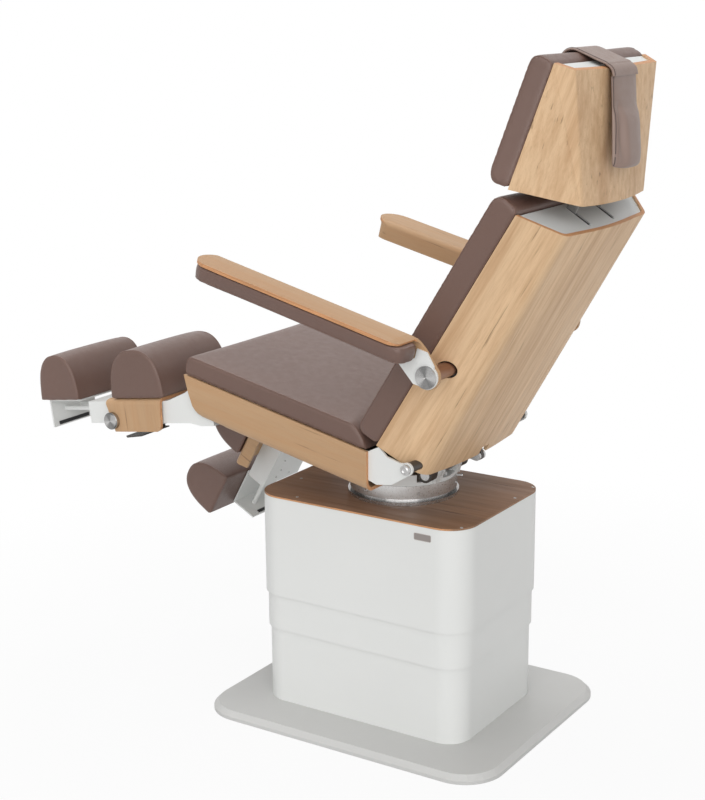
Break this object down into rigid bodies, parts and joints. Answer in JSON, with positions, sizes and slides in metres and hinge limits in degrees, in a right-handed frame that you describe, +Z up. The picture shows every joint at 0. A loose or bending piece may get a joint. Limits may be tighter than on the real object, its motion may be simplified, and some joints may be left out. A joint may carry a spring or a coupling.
{
  "type": "podiatry chair",
  "caption": "Electric podiatry treatment chair on a telescopic pedestal, with plywood shells, soft brown upholstery, folding armrests and two separate leg rests",
  "frame": {"origin": "on the floor under the swivel axis", "axes": "Z up, the occupant faces -Y, X to the occupant's left"},
  "size_m": [0.86, 1.4894, 1.6174],
  "materials": {
    "painted_white": "satin off-white",
    "steel": "brushed",
    "dark_frame": "matte dark grey",
    "brown_metal": "satin brown",
    "black_plastic": "matte",
    "black_rubber": "matte",
    "oak_ply": "satin veneer",
    "walnut_board": "satin laminate",
    "leather": "soft grained"
  },
  "bodies": {
    "base": {"base_plate": "painted_white", "levelling_feet": "black_rubber", "inner_cover": "painted_white", "column_base": "steel", "lift_motor": "black_plastic"},
    "lift_middle": {"middle_cover": "painted_white", "column_middle": "steel"},
    "lift_head": {"outer_cover": "painted_white", "column_top": "steel", "top_board": "walnut_board", "bearing_flange": "steel"},
    "swivel": {"turntable_disc": "steel", "swivel_casting": "painted_white"},
    "swivel_lock": {"swivel_pin": "steel"},
    "seat": {"tilt_axle": "steel", "seat_frame": "dark_frame", "seat_side_plates": "painted_white", "seat_shell": "oak_ply", "seat_cushion": "leather", "leg_axle": "steel", "hinge_bolts": "steel", "back_actuator": "black_plastic", "tilt_actuator": "black_plastic"},
    "back_ram": {"back_rod": "steel"},
    "tilt_ram": {"tilt_rod": "steel"},
    "back": {"back_frame": "painted_white", "back_shell": "oak_ply", "back_top_panel": "painted_white", "back_cushion": "leather", "arm_shafts": "brown_metal"},
    "head_pivot": {"head_pivot_block": "black_plastic"},
    "head": {"head_bars": "steel", "head_shell": "oak_ply", "head_panel": "painted_white", "head_cushion": "leather", "head_strap": "leather", "neck_cushion": "leather"},
    "left_arm": {"left_arm_wood": "oak_ply", "left_arm_pad": "leather", "left_arm_bracket": "painted_white", "left_arm_disc": "steel"},
    "left_leg": {"left_leg_arm": "painted_white", "left_leg_cover": "oak_ply", "left_calf_roll": "leather"},
    "left_knob": {"left_leg_knob": "steel"},
    "left_lever": {"left_leg_lever": "dark_frame"},
    "left_heel": {"left_heel_slide": "painted_white", "left_heel_roll": "leather"},
    "right_arm": {"right_arm_wood": "oak_ply", "right_arm_pad": "leather", "right_arm_bracket": "painted_white", "right_arm_disc": "steel"},
    "right_leg": {"right_leg_arm": "painted_white", "right_leg_cover": "oak_ply", "right_calf_roll": "leather"},
    "right_knob": {"right_leg_knob": "steel"},
    "right_lever": {"right_leg_lever": "dark_frame"},
    "right_heel": {"right_heel_slide": "painted_white", "right_heel_roll": "leather"}
  },
  "joints": [
    {"name": "lift", "type": "slide", "parent": "base", "child": "lift_head", "axis": [0, 0, 1], "range_m": [-0.27, 0.07]},
    {"name": "lift_middle_stage", "type": "slide", "parent": "base", "child": "lift_middle", "axis": [0, 0, 1], "range_m": [-0.135, 0.035]},
    {"name": "seat_swivel", "type": "hinge", "parent": "lift_head", "child": "swivel", "pos_m": [0, 0, 0.57], "axis": [0, 0, 1], "range_deg": [-175, 175]},
    {"name": "swivel_lock_pull", "type": "slide", "parent": "swivel", "child": "swivel_lock", "axis": [-0.5299, 0.848, 0], "range_m": [0, 0.008]},
    {"name": "seat_tilt", "type": "hinge", "parent": "swivel", "child": "seat", "pos_m": [0, 0.112, 0.63], "axis": [-1, 0, 0], "range_deg": [-8, 12]},
    {"name": "tilt_ram_slide", "type": "slide", "parent": "seat", "child": "tilt_ram", "axis": [0, -0.9767, 0.2147], "range_m": [-0.0095, 0.0135]},
    {"name": "back_recline", "type": "hinge", "parent": "seat", "child": "back", "pos_m": [0, 0.1765, 0.70478], "axis": [-1, 0, 0], "range_deg": [0, 62]},
    {"name": "back_ram_slide", "type": "slide", "parent": "seat", "child": "back_ram", "axis": [0, -0.9767, 0.2147], "range_m": [0, 0.0465]},
    {"name": "head_tilt", "type": "hinge", "parent": "back", "child": "head_pivot", "pos_m": [0, 0.41832, 1.167], "axis": [-1, 0, 0], "range_deg": [0, 17]},
    {"name": "head_extend", "type": "slide", "parent": "head_pivot", "child": "head", "axis": [0, 0.3633, 0.9317], "range_m": [-0.015, 0.1]},
    {"name": "left_arm_swing", "type": "hinge", "parent": "back", "child": "left_arm", "pos_m": [0.34, 0.26944, 0.9417], "axis": [-1, 0, 0], "range_deg": [-45, 100]},
    {"name": "left_leg_raise", "type": "hinge", "parent": "seat", "child": "left_leg", "pos_m": [0.19, -0.39991, 0.81206], "axis": [-1, 0, 0], "range_deg": [-62, 20]},
    {"name": "left_heel_extend", "type": "slide", "parent": "left_leg", "child": "left_heel", "axis": [0, -0.9903, -0.1392], "range_m": [-0.05, 0.08]},
    {"name": "left_knob_turn", "type": "hinge", "parent": "left_leg", "child": "left_knob", "pos_m": [0.29, -0.67184, 0.69912], "axis": [1, 0, 0], "continuous": true},
    {"name": "left_lever_pull", "type": "hinge", "parent": "left_leg", "child": "left_lever", "pos_m": [0.177, -0.61114, 0.68038], "axis": [0, -0.9903, -0.1392], "range_deg": [0, 4.5]},
    {"name": "right_arm_swing", "type": "hinge", "parent": "back", "child": "right_arm", "pos_m": [-0.34, 0.26944, 0.9417], "axis": [-1, 0, 0], "range_deg": [-45, 100]},
    {"name": "right_leg_raise", "type": "hinge", "parent": "seat", "child": "right_leg", "pos_m": [-0.19, -0.39991, 0.81206], "axis": [-1, 0, 0], "range_deg": [-9, 73]},
    {"name": "right_heel_extend", "type": "slide", "parent": "right_leg", "child": "right_heel", "axis": [0, -0.4848, -0.8746], "range_m": [-0.016, 0.114]},
    {"name": "right_knob_turn", "type": "hinge", "parent": "right_leg", "child": "right_knob", "pos_m": [-0.29, -0.47336, 0.52692], "axis": [1, 0, 0], "continuous": true},
    {"name": "right_lever_pull", "type": "hinge", "parent": "right_leg", "child": "right_lever", "pos_m": [-0.177, -0.42187, 0.56412], "axis": [0, 0.4848, 0.8746], "range_deg": [0, 4.5]}
  ],
  "couplings": [
    {"joint": "lift_middle_stage", "follows": "lift", "ratio": 0.5},
    {"joint": "tilt_ram_slide", "follows": "seat_tilt", "m_per_rad": 0.0625},
    {"joint": "back_ram_slide", "follows": "back_recline", "m_per_rad": 0.0422}
  ]
}
